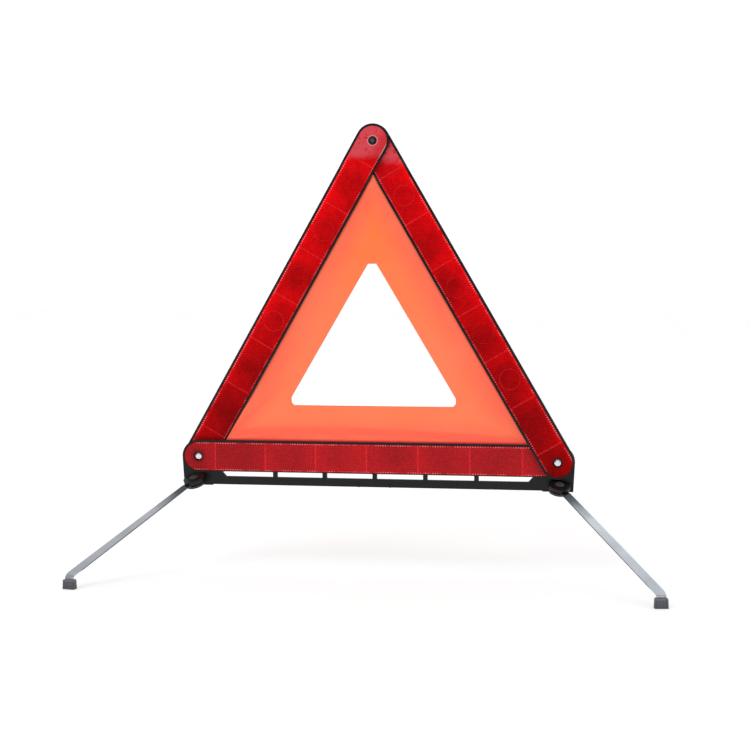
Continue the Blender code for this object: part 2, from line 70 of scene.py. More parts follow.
# ---- reflectors: one look for each bar; along a bar, lengths count from its first pin ----
# the base's red carries more green and blue than the arms' reds: a painted pale reflection
REFLECTORS = {
    "base": {
        "red": (0.575, 0.009, 0.014, 1), "gloss": 0.12, "lit_side": 0.0, "low_end_light": 1.06,
        "seed": 4.0, "cell_start": 0.0194, "line": 0.75, "circle": 0.05, "cell_shade": 0.88,
        "mottle": 0.09, "prisms": 0.36, "bead_glints": 1.30, "pin_shade": 0.0105,
        "smooth_from": 1.0, "smooth_blend": 0.010,
    },
    "left": {
        "red": (0.82, 0.0010, 0.0035, 1), "gloss": 0.04, "lit_side": -1.0, "low_end_light": 0.60,
        "seed": 4.0, "cell_start": 0.0315, "line": 0.55, "circle": 0.45, "cell_shade": 0.80,
        "mottle": 0.20, "prisms": 0.32, "bead_glints": 1.20, "pin_shade": None,
        "smooth_from": 0.320, "smooth_blend": 0.008,
    },
    "right": {
        "red": (0.79, 0.0008, 0.0033, 1), "gloss": 0.04, "lit_side": 1.0, "low_end_light": 0.55,
        "seed": 5.0, "cell_start": 0.0172, "line": 0.65, "circle": 0.45, "cell_shade": 0.80,
        "mottle": 0.20, "prisms": 0.32, "bead_glints": 1.20, "pin_shade": 0.0065,
        "smooth_from": 0.313, "smooth_blend": 0.014,
    },
}
ARM_SLOPE = math.radians(60)
CELL_PITCH = 0.0562
LINE_WIDTH = 0.0011
CIRCLE_RADIUS = 0.011
CIRCLE_WIDTH = 0.0006
PRISM_PITCH = 0.0026
BEAD_PITCH = 0.0027
BEAD_INSET = 0.0009
BEAD_WIDTH = 0.0009
RIVET_EDGE = 0.0045
BASE_END_SHADE = 0.050
TIP_RAGGEDNESS = 0.016
TIP_RING_RADIUS = 0.0053

# ---- legs and feet ----
SHANK_END = 0.158
DARK_ROOT_END = 0.065
FOOT_RIB = 0.0030
COLLAR_HEIGHT = 0.0082

# ---- fluorescent sheet; heights count up from the pins ----
OPENING_HALF_WIDTH = 0.0900
OPENING_BOTTOM = 0.0575
OPENING_SHIFT = -0.0016
OPENING_CHAMFER = 0.0030
OPENING_SIDE_HEIGHT = 0.0055
OPENING_TOP = 0.2105
OPENING_TOP_WIDTH = 0.0090
SHEET_MARGIN = 0.0001
SHEET_THICKNESS = 0.0004
SHEET_TAUTNESS = 0.001
TIP_DEPTH = 0.0012
THREAD = 0.0007
SAG_PITCH = 0.024
ROWS = 24
SIDE_STEPS = 72
DRAPE_FRAMES = 30

# ---- studio ----
SKY_LIGHT = 0.70
SKY_SEEN = 1.05
KEY_POWER = 9.0
FILL_POWER = 3.0
FLOOR_REACH = 8.0


# ---- node helpers ----
def new_material(name):
    made = bpy.data.materials.new(name)
    made.use_nodes = True
    return made, made.node_tree, made.node_tree.nodes["Principled BSDF"]


def put(tree, socket, value):
    if isinstance(value, bpy.types.NodeSocket):
        tree.links.new(value, socket)
    else:
        socket.default_value = value


def add(tree, kind, inputs=None, **properties):
    made = tree.nodes.new(kind)
    for name, value in properties.items():
        setattr(made, name, value)
    for name, value in (inputs or {}).items():
        put(tree, made.inputs[name], value)
    return made


def calc(tree, operation, *values):
    made = add(tree, "ShaderNodeMath", operation=operation)
    for socket, value in zip(made.inputs, values):
        put(tree, socket, value)
    return made.outputs[0]


def times(tree, *values):
    product = values[0]
    for value in values[1:]:
        product = calc(tree, "MULTIPLY", product, value)
    return product


def minus(tree, first, second):
    return calc(tree, "SUBTRACT", first, second)


def axes_of(tree, vector):
    return add(tree, "ShaderNodeSeparateXYZ", {"Vector": vector}).outputs


def own_place(tree):
    """Coordinates of a surface point in the space of the piece itself."""
    return add(tree, "ShaderNodeTexCoord").outputs["Object"]


def triangle_wave(tree, value, pitch):
    """Rises from 0 to 1 and falls back once in each pitch."""
    return calc(tree, "DIVIDE", calc(tree, "PINGPONG", value, pitch / 2), pitch / 2)


def blend_colours(tree, share, first, second, kind="MIX"):
    made = add(tree, "ShaderNodeMix", data_type="RGBA", blend_type=kind)
    put(tree, made.inputs[0], share)
    put(tree, made.inputs[6], first)
    put(tree, made.inputs[7], second)
    return made.outputs[2]


def ramp(tree, value, low, high, to_low=0.0, to_high=1.0):
    made = add(tree, "ShaderNodeMapRange", interpolation_type="SMOOTHSTEP")
    for index, number in enumerate((value, low, high, to_low, to_high)):
        put(tree, made.inputs[index], number)
    return made.outputs[0]


def noise(tree, vector, scale, detail=4.0, roughness=0.6):
    inputs = {"Vector": vector, "Scale": scale, "Detail": detail, "Roughness": roughness}
    return add(tree, "ShaderNodeTexNoise", inputs).outputs["Fac"]


def place_of(tree, guide):
    """Coordinates of a surface point in the space of a guide empty, which moves with its body."""
    made = add(tree, "ShaderNodeTexCoord")
    made.object = guide
    return made.outputs["Object"]


def soft_edges(tree, radius, bump_height=None, strength=0.3, distance=0.0002):
    """Rounded-looking edges, with an optional bump on top."""
    rounded = add(tree, "ShaderNodeBevel", {"Radius": radius}, samples=6).outputs[0]
    if bump_height is None:
        return rounded
    inputs = {"Strength": strength, "Distance": distance, "Height": bump_height, "Normal": rounded}
    return add(tree, "ShaderNodeBump", inputs).outputs[0]


# ---- guides: empties that give materials their directions ----
def guide(name, body, origin, along, front):
    along, front = Vector(along).normalized(), Vector(front).normalized()
    across = along.cross(front)
    made = bpy.data.objects.new(name, None)
    bpy.context.scene.collection.objects.link(made)
    axes = Matrix((across, along, front)).transposed().to_4x4()
    made.matrix_world = Matrix.Translation(origin) @ axes
    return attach(made, body)


def bar_guides():
    """A guide for each bar, at its first pin and along it."""
    base_start = (LEFT_PIN.x, BASE_Y, PIN_HEIGHT)
    guides = {"base": guide("guide_base", "base", base_start, (1, 0, 0), (0, -1, 0))}
    for side, pin in (("left", LEFT_PIN), ("right", RIGHT_PIN)):
        front = -Vector(JOINTS[side + "_arm_fold"]["axis"])
        up_the_arm = Vector((-pin.x, 0, PIN_SPACING * math.sin(ARM_SLOPE))).normalized()
        up_the_arm = (up_the_arm - front * up_the_arm.dot(front)).normalized()
        guides[side] = guide("guide_" + side, side + "_arm", pin, up_the_arm, front)
    return guides


# ---- materials ----
def black_plastic(guide_object, gloss=0.30):
    made, tree, shader = new_material("black_plastic_finish")
    place = place_of(tree, guide_object)
    grain = noise(tree, place, 1400.0, 2.0)
    rubbed = noise(tree, place, 60.0, 6.0, 0.7)
    fresh, worn = (0.0035, 0.0037, 0.0045, 1), (0.010, 0.0105, 0.012, 1)
    colour = blend_colours(tree, ramp(tree, rubbed, 0.4, 0.75), fresh, worn)
    put(tree, shader.inputs["Base Color"], colour)
    put(tree, shader.inputs["Roughness"], ramp(tree, rubbed, 0.3, 0.7, 0.30, 0.46))
    shader.inputs["Specular IOR Level"].default_value = gloss
    put(tree, shader.inputs["Normal"], soft_edges(tree, 0.0006, grain, 0.25, 0.00012))
    return made


def prism_height(tree, across, along):
    """Three crossing triangle waves, which give rows of corner-cube prisms."""
    waves = []
    for degrees in (0, 60, 120):
        turn = math.radians(degrees)
        run = calc(tree, "ADD", times(tree, across, math.cos(turn)), times(tree, along, math.sin(turn)))
        waves.append(triangle_wave(tree, run, PRISM_PITCH))
    return calc(tree, "MINIMUM", waves[0], calc(tree, "MINIMUM", waves[1], waves[2]))


def distance_from(tree, across, along, centre):
    off = minus(tree, along, centre)
    squares = calc(tree, "ADD", times(tree, off, off), times(tree, across, across))
    return calc(tree, "SQRT", squares)


def band(tree, value, middle, half_width):
    """1 where value is near middle, falling to 0 within half_width."""
    off = calc(tree, "ABSOLUTE", minus(tree, value, middle))
    return ramp(tree, off, 0.35 * half_width, half_width, 1.0, 0.0)


def lens_cells(tree, look, across, along):
    """Each cell's random number, its marks (boundary line and circle) and the painted shade that darkens
    its middle.
    """
    cells = calc(tree, "DIVIDE", minus(tree, along, look["cell_start"]), CELL_PITCH)
    number = calc(tree, "FLOOR", cells)
    off_middle = times(tree, minus(tree, calc(tree, "FRACT", cells), 0.5), CELL_PITCH)
    chance = add(tree, "ShaderNodeTexWhiteNoise", noise_dimensions="1D")
    put(tree, chance.inputs["W"], calc(tree, "ADD", number, look["seed"]))
    chance = chance.outputs["Value"]
    to_line = minus(tree, CELL_PITCH / 2, calc(tree, "ABSOLUTE", off_middle))
    line = ramp(tree, to_line, 0.2 * LINE_WIDTH, LINE_WIDTH, look["line"], 0.0)
    radius = distance_from(tree, across, off_middle, 0.0)
    shown = ramp(tree, chance, 0.45, 0.75, 0.0, look["circle"])
    circle = times(tree, band(tree, radius, CIRCLE_RADIUS, CIRCLE_WIDTH), shown)
    cell_shade = ramp(tree, radius, 0.004, 0.026, look["cell_shade"], 1.04)
    return chance, calc(tree, "MAXIMUM", line, circle), cell_shade


def lens_bead_glints(tree, look, place, across, along, to_light):
    """Painted glints: rows of bright dots just inside both long edges, brighter on the lit side."""
    edge = minus(tree, LENS_HALF_WIDTH, calc(tree, "ABSOLUTE", across))
    row = band(tree, edge, BEAD_INSET, BEAD_WIDTH)
    dots = ramp(tree, triangle_wave(tree, along, BEAD_PITCH), 0.45, 0.75)
    patchy = ramp(tree, noise(tree, place, 90.0, 2.0), 0.35, 0.62)
    lit = ramp(tree, to_light, -0.004, 0.004, 0.5 * look["bead_glints"], look["bead_glints"])
    return times(tree, row, dots, patchy, lit)


def lens_brightness(tree, look, across, along, to_light, patterns):
    """How bright the red is, with painted light and shade: lighter up the bar, towards the light and on the
    prisms' crests, with a painted highlight along the lit edge.
    """
    chance, cell_shade, prisms, mottle, speckle = patterns
    half = LENS_HALF_WIDTH
    factors = [
        # painted shade: the arms darker towards their lower pins, the base a little lighter at its left end
        ramp(tree, along, 0.0, 0.85 * PIN_SPACING, look["low_end_light"], 1.0),
        ramp(tree, chance, 0.0, 1.0, 0.88, 1.08),
        cell_shade,
        ramp(tree, prisms, 0.05, 0.7, 1 - look["prisms"], 1.20),
        ramp(tree, mottle, 0.32, 0.68, 1 - look["mottle"], 1 + 0.8 * look["mottle"]),
        ramp(tree, speckle, 0.3, 0.7, 0.86, 1.12),
        ramp(tree, to_light, -half, half, 0.86, 1.14),
    ]
    from_pin = distance_from(tree, across, along, 0.0)
    if look["pin_shade"]:
        factors.append(ramp(tree, from_pin, RIVET_EDGE, look["pin_shade"], 0.55, 1.0))
    if look is REFLECTORS["base"]:
        factors.append(ramp(tree, from_pin, 0.2 * BASE_END_SHADE, BASE_END_SHADE, 0.84, 1.0))
    # painted highlight along the lit edge of the lens
    lit_rim_highlight = ramp(tree, to_light, 0.6 * half, half, 0.0, 0.25)
    return calc(tree, "ADD", times(tree, *factors), lit_rim_highlight)


def smooth_share(tree, bar, across, along, mottle):
    """0 over the prisms and 1 on the smooth tip of an arm; the border is level, where the painted
    reflection on the tip ends, and a little ragged.
    """
    look = REFLECTORS[bar]
    lean = times(tree, across, 0.5 if bar == "right" else -0.5)
    rise = calc(tree, "ADD", times(tree, along, math.sin(ARM_SLOPE)), lean)
    ragged = times(tree, minus(tree, mottle, 0.5), TIP_RAGGEDNESS)
    rise = calc(tree, "ADD", rise, ragged)
    return ramp(tree, rise, look["smooth_from"], look["smooth_from"] + look["smooth_blend"])


def smooth_tip(tree, place, to_light):
    """Colour of the smooth stretch: red with a pale, streaky painted reflection, stronger towards the
    light.
    """
    streaks = noise(tree, place, 170.0, 4.0, 0.65)
    tip_reflection = times(tree, ramp(tree, streaks, 0.33, 0.46), ramp(tree, to_light, -0.012, 0.0, 0.35, 1.0))
    return blend_colours(tree, tip_reflection, (0.60, 0.006, 0.014, 1), (0.70, 0.065, 0.085, 1))


def tip_glints(tree, tip, across, along):
    """Painted highlights: pale lines round the hole of the left tip and along its right edge."""
    ring = band(tree, distance_from(tree, across, along, PIN_SPACING), TIP_RING_RADIUS, CIRCLE_WIDTH)
    edge = minus(tree, LENS_HALF_WIDTH, calc(tree, "ABSOLUTE", across))
    line = times(tree, ramp(tree, edge, 0.0003, 0.0011, 1.0, 0.0), ramp(tree, across, -0.002, 0.004))
    glint = calc(tree, "MAXIMUM", times(tree, ring, 0.5), times(tree, line, 0.8))
    return blend_colours(tree, glint, tip, (0.75, 0.45, 0.47, 1))


def reflector(bar, guide_object):
    """Red lens over rows of prisms, in moulded cells, with a smooth stretch at an arm's tip."""
    look = REFLECTORS[bar]
    made, tree, shader = new_material("red_lens_" + bar)
    place = place_of(tree, guide_object)
    across, along, _ = axes_of(tree, place)
    to_light = times(tree, across, look["lit_side"])
    prisms = prism_height(tree, across, along)
    mottle = noise(tree, place, 38.0, 5.0, 0.6)
    speckle = noise(tree, place, 420.0, 2.0, 0.6)
    chance, marks, cell_shade = lens_cells(tree, look, across, along)
    patterns = (chance, cell_shade, prisms, mottle, speckle)
    light = lens_brightness(tree, look, across, along, to_light, patterns)
    smooth = smooth_share(tree, bar, across, along, mottle)
    prismatic = minus(tree, 1.0, smooth)

    colour = blend_colours(tree, 1.0, look["red"], light, "MULTIPLY")
    marks = times(tree, marks, ramp(tree, speckle, 0.35, 0.6, 0.4, 1.0), prismatic)
    colour = blend_colours(tree, marks, colour, (0.90, 0.022, 0.032, 1))
    # painted glints in rows along the lens's edges
    bead_glints = times(tree, lens_bead_glints(tree, look, place, across, along, to_light), prismatic)
    colour = blend_colours(tree, bead_glints, colour, (0.95, 0.22, 0.24, 1))
    tip = smooth_tip(tree, place, to_light)
    if bar == "left":
        tip = tip_glints(tree, tip, across, along)
    put(tree, shader.inputs["Base Color"], blend_colours(tree, smooth, colour, tip))
    put(tree, shader.inputs["Roughness"], ramp(tree, smooth, 0.0, 1.0, 0.42, 0.22))
    height = times(tree, prisms, prismatic)
    put(tree, shader.inputs["Normal"], soft_edges(tree, 0.0004, height, 0.30, 0.0004))
    put(tree, shader.inputs["Specular IOR Level"], ramp(tree, smooth, 0.0, 1.0, look["gloss"], 0.30))
    return made


def pin_plastic():
    """Rougher and greyer black than the frame's, for the domed heads of the leg pins."""
    made, tree, shader = new_material("pin_plastic_finish")
    grain = noise(tree, own_place(tree), 900.0, 3.0)
    colour = blend_colours(tree, grain, (0.016, 0.018, 0.018, 1), (0.034, 0.037, 0.037, 1))
    put(tree, shader.inputs["Base Color"], colour)
    shader.inputs["Roughness"].default_value = 0.55
    put(tree, shader.inputs["Normal"], soft_edges(tree, 0.0006, grain, 0.25, 0.00012))
    return made


def bright_steel():
    made, tree, shader = new_material("bright_steel_finish")
    marks = noise(tree, own_place(tree), 900.0, 3.0)
    shader.inputs["Base Color"].default_value = (0.80, 0.81, 0.82, 1)
    shader.inputs["Metallic"].default_value = 1.0
    put(tree, shader.inputs["Roughness"], ramp(tree, marks, 0.3, 0.7, 0.18, 0.34))
    put(tree, shader.inputs["Normal"], soft_edges(tree, 0.0004, marks, 0.1, 0.00005))
    return made


def strip_sides(tree, along):
    """1 on the thin sides of a leg's strip, which face sideways; 0 on its flats and near the foot."""
    normal = add(tree, "ShaderNodeNewGeometry").outputs["True Normal"]
    turned = add(tree, "ShaderNodeVectorTransform", {"Vector": normal}, vector_type="NORMAL",
                 convert_from="WORLD", convert_to="OBJECT").outputs[0]
    facing_up = axes_of(tree, turned)[2]
    on_shank = ramp(tree, along, SHANK_END, SHANK_END + 0.006, 1.0, 0.0)
    return times(tree, ramp(tree, facing_up, 0.1, 0.45, 1.0, 0.0), on_shank)


def spring_steel(name, guide_object):
    """Rolled strip, dark and bluish near the pivot and on its thin sides: fine scratches along the leg and
    a few dull patches.
    """
    made, tree, shader = new_material("spring_steel_" + name)
    place = place_of(tree, guide_object)
    along = axes_of(tree, place)[1]
    stretched = add(tree, "ShaderNodeMapping", {"Vector": place, "Scale": (2200.0, 30.0, 2200.0)})
    scratches = noise(tree, stretched.outputs[0], 1.0, 3.0, 0.6)
    patches = noise(tree, place, 22.0, 3.0, 0.5)
    dull, clean = (0.52, 0.56, 0.60, 1), (0.64, 0.67, 0.71, 1)
    colour = blend_colours(tree, ramp(tree, patches, 0.35, 0.7), dull, clean)
    wander = times(tree, minus(tree, patches, 0.5), 0.03)
    dark_root = ramp(tree, calc(tree, "ADD", along, wander), 0.012, DARK_ROOT_END, 1.0, 0.0)
    colour = blend_colours(tree, dark_root, colour, (0.060, 0.078, 0.095, 1))
    colour = blend_colours(tree, strip_sides(tree, along), colour, (0.085, 0.085, 0.12, 1))
    put(tree, shader.inputs["Base Color"], colour)
    shader.inputs["Metallic"].default_value = 1.0
    put(tree, shader.inputs["Roughness"], ramp(tree, scratches, 0.3, 0.7, 0.26, 0.44))
    put(tree, shader.inputs["Normal"], soft_edges(tree, 0.0003, scratches, 0.18, 0.00006))
    return made


def foot_rubber(name, guide_object):
    """Moulded cap with upright ribs, painted shade in the channels between them, and a paler collar round
    its top.
    """
    made, tree, shader = new_material("rubber_" + name)
    place = place_of(tree, guide_object)
    across, up, _ = axes_of(tree, place)
    collar = ramp(tree, up, COLLAR_HEIGHT, COLLAR_HEIGHT + 0.0006)
    ribs = ramp(tree, triangle_wave(tree, across, FOOT_RIB), 0.25, 0.6)
    ribs = times(tree, ribs, minus(tree, 1.0, collar))
    grain = noise(tree, place, 700.0, 4.0)
    dust = noise(tree, place, 120.0, 5.0, 0.65)
    clean, dusty, groove_shade = (0.070, 0.075, 0.082, 1), (0.115, 0.121, 0.132, 1), (0.055, 0.060, 0.066, 1)
    colour = blend_colours(tree, ramp(tree, dust, 0.35, 0.7), clean, dusty)
    # painted shade in the channels between the ribs
    colour = blend_colours(tree, times(tree, ribs, 0.6), colour, groove_shade)
    colour = blend_colours(tree, collar, colour, (0.16, 0.155, 0.185, 1))
    put(tree, shader.inputs["Base Color"], colour)
    put(tree, shader.inputs["Roughness"], ramp(tree, dust, 0.3, 0.7, 0.55, 0.75))
    height = minus(tree, times(tree, grain, 0.3), ribs)
    put(tree, shader.inputs["Normal"], soft_edges(tree, 0.0008, height, 0.5, 0.0004))
    return made


def grey_nylon():
    made, tree, shader = new_material("grey_nylon_finish")
    grain = noise(tree, own_place(tree), 1100.0, 3.0)
    shader.inputs["Base Color"].default_value = (0.055, 0.060, 0.062, 1)
    put(tree, shader.inputs["Roughness"], ramp(tree, grain, 0.3, 0.7, 0.32, 0.48))
    put(tree, shader.inputs["Normal"], soft_edges(tree, 0.0004, grain, 0.2, 0.0001))
    return made


# ---- dressing the CAD pieces ----
def wear(node_name, material):
    node = frame["nodes"][node_name]
    node.data.materials.clear()
    node.data.materials.append(material)


def leg_guide(leg):
    """Directions along a leg, from its pivot to its foot."""
    joint = JOINTS[leg + "_swing"]
    pivot, axis = Vector(joint["pos_m"]), Vector(joint["axis"])
    low, high = (Vector(corner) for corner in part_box(leg.removesuffix("_leg") + "_foot"))
    along = ((low + high) / 2 - pivot).normalized()
    front = (axis - along * axis.dot(along)).normalized()
    return guide("guide_" + leg, joint["child"], pivot, along, front)


def foot_guide(foot):
    """Directions of a foot cap from the middle of its underside: across, up and away from the base.

    The rear legs are stowed at rest, so theirs are turned back from where they stand.
    """
    joint = JOINTS[foot.removesuffix("_foot") + "_leg_swing"]
    low, high = (Vector(corner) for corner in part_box(foot))
    stowed = "rear" in foot
    swing = sum(joint["range_deg"]) if stowed else 0.0
    turn = Matrix.Rotation(-math.radians(swing), 3, Vector(joint["axis"]))
    up, front = turn @ Vector((0, 0, 1)), turn @ Vector((0, 1 if stowed else -1, 0))
    under = (low + high) / 2 - up * FOOT_HEIGHT / 2
    return guide("guide_" + foot, joint["child"], under, up, front)


def dress_cad_nodes(guides):
    glossy_black, pin_black = black_plastic(guides["base"], gloss=0.6), pin_plastic()
    metal, nylon = bright_steel(), grey_nylon()
    for bar, owner in (("base", "base"), ("left", "left_arm"), ("right", "right_arm")):
        wear(owner + "_reflector", reflector(bar, guides[bar]))
        wear(owner + "_frame", black_plastic(guides[bar]))
    for node_name in frame["nodes"]:
        if node_name.endswith("corner_rivet"):
            wear(node_name, metal)
        elif node_name.endswith("_foot"):
            wear(node_name, foot_rubber(node_name, foot_guide(node_name)))
        elif node_name.endswith(("_spacer", "_stud")):
            wear(node_name, nylon)
        elif node_name.endswith("_leg_pin"):
            wear(node_name, pin_black)
        elif node_name.endswith(("_leg_plate", "_grommet")):
            wear(node_name, glossy_black)
        elif node_name.endswith("_leg"):
            wear(node_name, spring_steel(node_name, leg_guide(node_name)))


# ---- fluorescent sheet ----
def pleats(tree, along, rise, corner, count, reach):
    """Fine folds that fan out from a corner of the sheet."""
    right, up = minus(tree, along, corner[0]), minus(tree, rise, corner[1])
    angle = calc(tree, "ARCTAN2", up, right)
    radius = calc(tree, "SQRT", calc(tree, "ADD", times(tree, right, right), times(tree, up, up)))
    wave = calc(tree, "SINE", times(tree, angle, float(count)))
    ripple = times(tree, calc(tree, "SINE", times(tree, angle, 2.3 * count)), 0.5)
    return times(tree, calc(tree, "ADD", wave, ripple), ramp(tree, radius, 0.2 * reach, reach, 1.0, 0.0))


def cloth_tint_and_shade(tree, along, rise):
    """Orange in the middle of the sheet, turned redder near the bars by painted shade where the sheet runs
    behind them.
    """
    drop = times(tree, rise, math.cos(ARM_SLOPE))
    to_left = minus(tree, times(tree, along, math.sin(ARM_SLOPE)), drop)
    from_right = minus(tree, PIN_SPACING, along)
    to_right = minus(tree, times(tree, from_right, math.sin(ARM_SLOPE)), drop)
    edge = BAR_HALF_WIDTH
    # painted shade where the sheet runs behind the arms and just above the base
    arm_shade = ramp(tree, calc(tree, "MINIMUM", to_left, to_right), edge, edge + 0.035, 0.9, 0.0)
    base_shade = ramp(tree, rise, edge, edge + 0.030, 1.0, 0.0)
    low_orange, high_orange = (1.0, 0.212, 0.092, 1), (1.0, 0.198, 0.042, 1)
    middle = blend_colours(tree, ramp(tree, rise, 0.10, 0.30), low_orange, high_orange)
    return blend_colours(tree, calc(tree, "MAXIMUM", arm_shade, base_shade), middle, (1.0, 0.140, 0.082, 1))


def cloth_weave(tree, place, along, rise):
    """Bump of the crossing threads."""
    threads = []
    for value in (rise, along):
        wave = calc(tree, "SINE", times(tree, value, 2 * math.pi / THREAD))
        threads.append(calc(tree, "ABSOLUTE", wave))
    weave = calc(tree, "ADD", calc(tree, "MAXIMUM", *threads), noise(tree, place, 500.0, 3.0))
    return add(tree, "ShaderNodeBump", {"Strength": 0.16, "Distance": 0.0001, "Height": weave}).outputs[0]


def cloth_folds(tree, along, rise):
    """Pleats from both lower corners of the sheet."""
    edge = BAR_HALF_WIDTH
    foot = edge / math.tan(ARM_SLOPE / 2)
    left_folds = pleats(tree, along, rise, (foot, edge), 11, 0.16)
    right_folds = pleats(tree, along, rise, (PIN_SPACING - foot, edge), 9, 0.10)
    return calc(tree, "ADD", left_folds, times(tree, right_folds, 0.5))


def cloth_crease_shade(tree, along, rise, folds, fade):
    """Painted shade: darker lines in the pleats' valleys, and along one long fold just above the base."""
    edge = BAR_HALF_WIDTH
    valleys = times(tree, ramp(tree, folds, 0.2, 1.3, 0.0, 0.4), ramp(tree, rise, edge, 0.13, 1.0, 0.0))
    wander = times(tree, calc(tree, "SINE", times(tree, along, 11.0)), 0.005)
    fold_line = band(tree, rise, calc(tree, "ADD", wander, edge + 0.007), 0.006)
    fold_line = times(tree, fold_line, ramp(tree, fade, 0.3, 0.6, 0.2, 0.6))
    return calc(tree, "MAXIMUM", valleys, fold_line)


def fluorescent_cloth(guides):
    """Coated woven cloth that glows a little: the emission is partly the fluorescent dye's own glow and
    partly painted light that brightens the sheet.
    """
    made, tree, shader = new_material("fluorescent_cloth")
    place = place_of(tree, guides["base"])
    below, along, _ = axes_of(tree, place)
    rise = times(tree, below, -1.0)
    edge = BAR_HALF_WIDTH
    fade = noise(tree, place, 14.0, 3.0)
    folds = cloth_folds(tree, along, rise)
    colour = cloth_tint_and_shade(tree, along, rise)
    colour = blend_colours(tree, ramp(tree, fade, 0.35, 0.65, 0.0, 0.35), colour, (1.0, 0.235, 0.115, 1))
    # painted shade in the pleats' valleys and along the fold above the base
    crease_shade = cloth_crease_shade(tree, along, rise, folds, fade)
    colour = blend_colours(tree, crease_shade, colour, (1.0, 0.105, 0.070, 1))
    # painted shadow: a dark red band just above the base
    base_edge_shadow = ramp(tree, rise, edge + 0.0008, edge + 0.0035, 0.8, 0.0)
    colour = blend_colours(tree, base_edge_shadow, colour, (0.95, 0.045, 0.040, 1))

    sag = calc(tree, "SINE", times(tree, rise, 2 * math.pi / SAG_PITCH))
    sag = times(tree, sag, ramp(tree, rise, edge, edge + 0.03, 0.7, 0.0))
    height = calc(tree, "ADD", folds, sag)
    weave = cloth_weave(tree, place, along, rise)
    soft = add(tree, "ShaderNodeBump",
               {"Strength": 0.35, "Distance": 0.0009, "Height": height, "Normal": weave})
    dimmed = blend_colours(tree, 1.0, colour, (0.80, 0.80, 0.80, 1), "MULTIPLY")
    put(tree, shader.inputs["Base Color"], dimmed)
    put(tree, shader.inputs["Normal"], soft.outputs[0])
    shader.inputs["Roughness"].default_value = 0.7
    shader.inputs["Specular IOR Level"].default_value = 0.12
    shader.inputs["Sheen Weight"].default_value = 0.03
    # glow: partly the dye's fluorescence, partly painted light
    put(tree, shader.inputs["Emission Color"], colour)
    shader.inputs["Emission Strength"].default_value = 0.25
    return made


def opening_side(corners, steps):
    """Steps along a run of corners by length; the nearest step to each corner lands on it."""
    lengths = [(after - before).length for before, after in zip(corners, corners[1:])]
    marks = np.concatenate([[0], np.cumsum(lengths)])
    stops = np.linspace(0, marks[-1], steps + 1)
    for mark in marks:
        stops[np.argmin(abs(stops - mark))] = mark
    x = np.interp(stops, marks, [corner.x for corner in corners])
    y = np.interp(stops, marks, [corner.y for corner in corners])
    return [Vector(point) for point in zip(x, y)][:-1]


def opening_outline():
    """Three runs round the opening, each as many steps as one side of the sheet."""
    shoulder = OPENING_BOTTOM + OPENING_CHAMFER
    low = Vector((OPENING_HALF_WIDTH - OPENING_CHAMFER, OPENING_BOTTOM))
    side = Vector((OPENING_HALF_WIDTH, shoulder))
    knee = Vector((OPENING_HALF_WIDTH, shoulder + OPENING_SIDE_HEIGHT))
    top = Vector((OPENING_TOP_WIDTH / 2, OPENING_TOP))
    peak = Vector((0, OPENING_TOP))
    left_low, left_side, left_knee, left_top = (
        Vector((-corner.x, corner.y)) for corner in (low, side, knee, top)
    )
    runs = (
        [left_side, left_low, low, side],
        [side, knee, top, peak],
        [peak, left_top, left_knee, left_side],
    )
    shift = Vector((OPENING_SHIFT, 0))
    return [point + shift for run in runs for point in opening_side(run, SIDE_STEPS)]


def sheet_outline(edge):
    """As many steps along each side of the triangle between the bars, from its lower left corner."""
    half = PIN_SPACING / 2 - edge * math.sqrt(3)
    left, right, top = Vector((-half, edge)), Vector((half, edge)), Vector((0, edge + half * math.sqrt(3)))
    points = []
    for start, end in ((left, right), (right, top), (top, left)):
        points += [start.lerp(end, step / SIDE_STEPS) for step in range(SIDE_STEPS)]
    return points


def edge_depth(x, rise):
    """How far behind the base's middle plane the sheet's edge lies: each bar holds it in its own layer."""
    height = PIN_SPACING * math.sin(ARM_SLOPE)
    pull = min(max((rise - BAR_HALF_WIDTH) / 0.05, 0.0), 1.0)
    layer = (LEFT_PIN.y - BASE_Y) * (1 - rise / height) + TIP_DEPTH * rise / height
    return -math.copysign(layer, x) * pull * min(abs(x) / 0.012, 1.0)


def sheet_grid():
    outer, inner = sheet_outline(BAR_HALF_WIDTH + SHEET_MARGIN), opening_outline()
    points, faces = [], []
    count = len(outer)
    for row in range(ROWS + 1):
        share = row / ROWS
        for out, inside in zip(outer, inner):
            flat = out.lerp(inside, share)
            depth = edge_depth(out.x, out.y) * (1 - share)
            points.append((flat.x, BASE_Y + depth, PIN_HEIGHT + flat.y))
    for row in range(ROWS):
        for step in range(count):
            after = (step + 1) % count
            near, far = row * count, (row + 1) * count
            faces.append((near + step, near + after, far + after, far + step))
    return points, faces, count


def make_sheet(guides):
    points, faces, count = sheet_grid()
    mesh = bpy.data.meshes.new("fluorescent_panel")
    mesh.from_pydata(points, [], faces)
    sheet = bpy.data.objects.new("fluorescent_panel", mesh)
    bpy.context.scene.collection.objects.link(sheet)
    drape(sheet, count)
    solid = sheet.modifiers.new("Solidify", "SOLIDIFY")
    solid.thickness = SHEET_THICKNESS
    solid.offset = 0
    apply_modifiers(sheet)
    for polygon in sheet.data.polygons:
        polygon.use_smooth = True
    sheet.data.materials.append(fluorescent_cloth(guides))
    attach(sheet, "base")
    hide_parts("fluorescent_sheet")
    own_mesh(sheet)
    return sheet


def apply_modifiers(obj):
    bpy.context.view_layer.update()
    graph = bpy.context.evaluated_depsgraph_get()
    obj.data = bpy.data.meshes.new_from_object(obj.evaluated_get(graph))
    obj.modifiers.clear()


